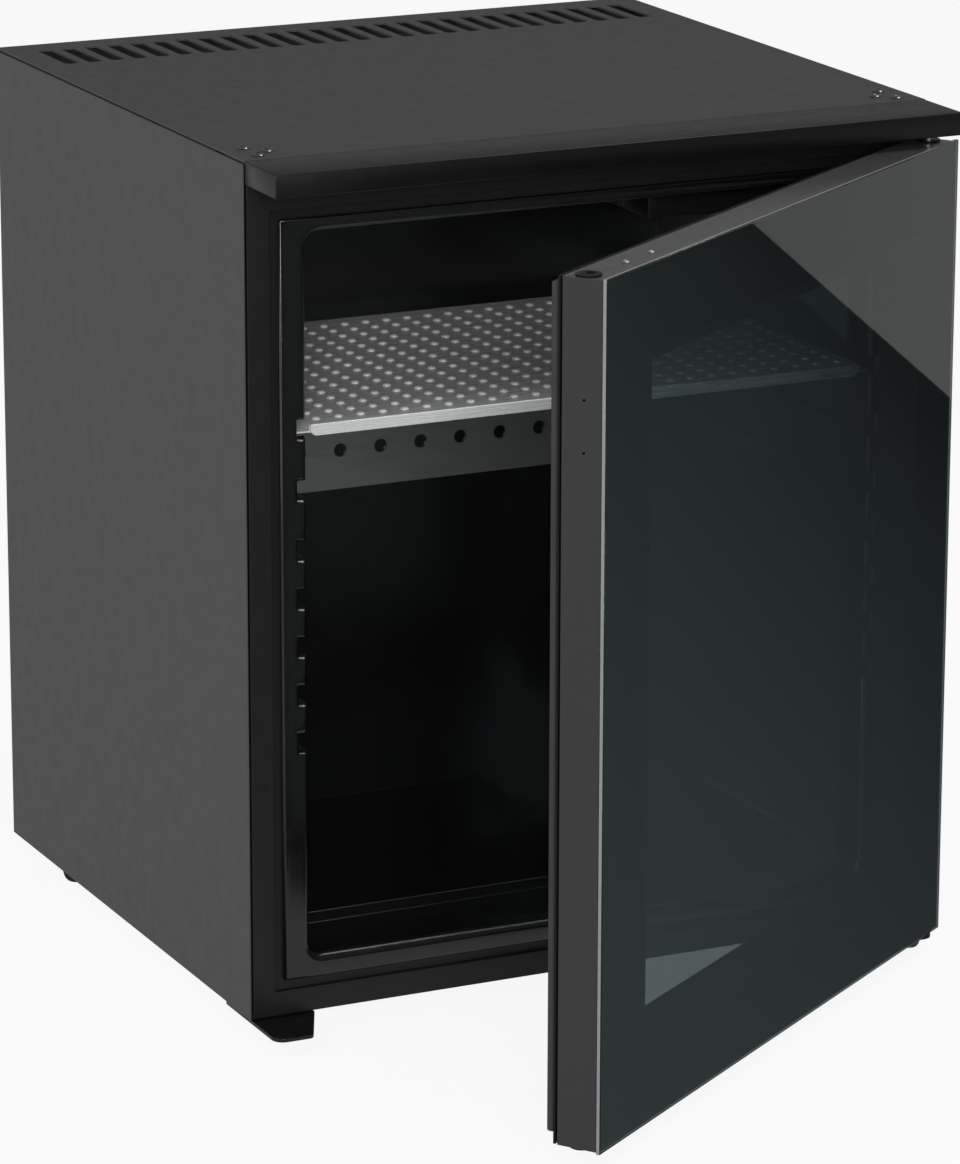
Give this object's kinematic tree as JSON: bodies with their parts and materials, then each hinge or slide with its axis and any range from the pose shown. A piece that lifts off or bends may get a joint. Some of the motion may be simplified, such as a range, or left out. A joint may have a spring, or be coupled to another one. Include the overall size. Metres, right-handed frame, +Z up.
{
  "type": "minibar fridge",
  "caption": "Minibar fridge with a smoked glass door standing open, slotted top, black liner and absorption cooling unit.",
  "frame": {"origin": "middle of the footprint of the whole object, door standing open, at floor level", "axes": "+X to the hinge side on the right as seen from the front, +Y from the front to the back, +Z up"},
  "size_m": [0.4809, 0.7231, 0.5677],
  "materials": {
    "dark_grey_paint": "matte dark grey paint, fine texture",
    "black_trim": "matte black",
    "black_front_frame": "satin black",
    "gloss_black_liner": "gloss black, moulded",
    "bright_steel": "zinc plated",
    "galvanised_steel": "galvanised sheet",
    "black_steel": "satin black",
    "bright_aluminium": "bright rolled sheet",
    "grey_aluminium": "dull grey sheet",
    "black_rubber": "matte",
    "door_gasket": "matte dark grey",
    "insulation_foam": "rigid foam",
    "smoked_glass": "smoked, blue-green",
    "clear_glass": "clear",
    "lamp_lens": "frosted",
    "black_tube": "satin black"
  },
  "bodies": {
    "cabinet": {"left_side_panel": "dark_grey_paint", "right_side_panel": "dark_grey_paint", "top_panel": "dark_grey_paint", "top_trim": "black_trim", "front_frame": "black_front_frame", "base_pan": "galvanised_steel", "rear_panel": "galvanised_steel", "insulation_foam": "insulation_foam", "inner_liner": "gloss_black_liner", "shelf": "bright_aluminium", "evaporator_plate": "grey_aluminium", "evaporator_block": "bright_aluminium", "lamp_housing": "black_trim", "lamp_lens": "lamp_lens", "temperature_sensor": "black_trim", "upper_hinge_bracket": "galvanised_steel", "left_trim_bracket": "galvanised_steel", "upper_hinge_pin": "bright_steel", "left_foot_plate": "black_steel", "foot_plate_rivet": "black_steel", "lower_hinge_plate": "black_steel", "lower_hinge_pin": "black_steel", "top_screw_left_front": "bright_steel", "top_screw_left_inner": "bright_steel", "top_screw_left_rear": "bright_steel", "top_screw_right_front": "bright_steel", "top_screw_right_inner": "bright_steel", "top_screw_right_rear": "bright_steel", "plate_screw_left": "bright_steel", "plate_screw_right": "bright_steel", "front_left_foot": "black_rubber", "front_right_foot": "black_rubber", "rear_left_foot": "black_rubber", "rear_right_foot": "black_rubber", "boiler_cover": "galvanised_steel", "heater_cartridge": "bright_steel", "riser_tube": "black_tube", "condenser": "black_tube", "feed_tube": "black_tube", "absorber_vessel": "black_tube", "absorber_coil": "black_tube", "vessel_cradle": "galvanised_steel", "control_box": "black_trim", "power_inlet": "black_trim", "drain_spout": "black_rubber", "drip_tray": "black_trim"},
    "door": {"outer_glass": "smoked_glass", "door_frame": "dark_grey_paint", "inner_glass": "clear_glass", "glass_spacer": "black_trim", "inner_trim": "black_trim", "gasket": "door_gasket", "upper_door_bush": "black_trim", "lower_door_bush": "black_trim", "upper_hole_plug": "black_trim", "lower_hole_plug": "black_trim", "door_top_screw_1": "bright_steel", "door_top_screw_2": "bright_steel"},
    "knob": {"thermostat_knob": "black_trim"}
  },
  "joints": [
    {"name": "door_hinge", "type": "hinge", "parent": "cabinet", "child": "door", "pos_m": [0.22293, -0.08236, 0.28], "axis": [0, 0, 1], "range_deg": [-35, 80]},
    {"name": "thermostat_turn", "type": "hinge", "parent": "cabinet", "child": "knob", "pos_m": [0.14243, -0.00726, 0.4997], "axis": [0, 0, -1], "range_deg": [0, 270]}
  ]
}
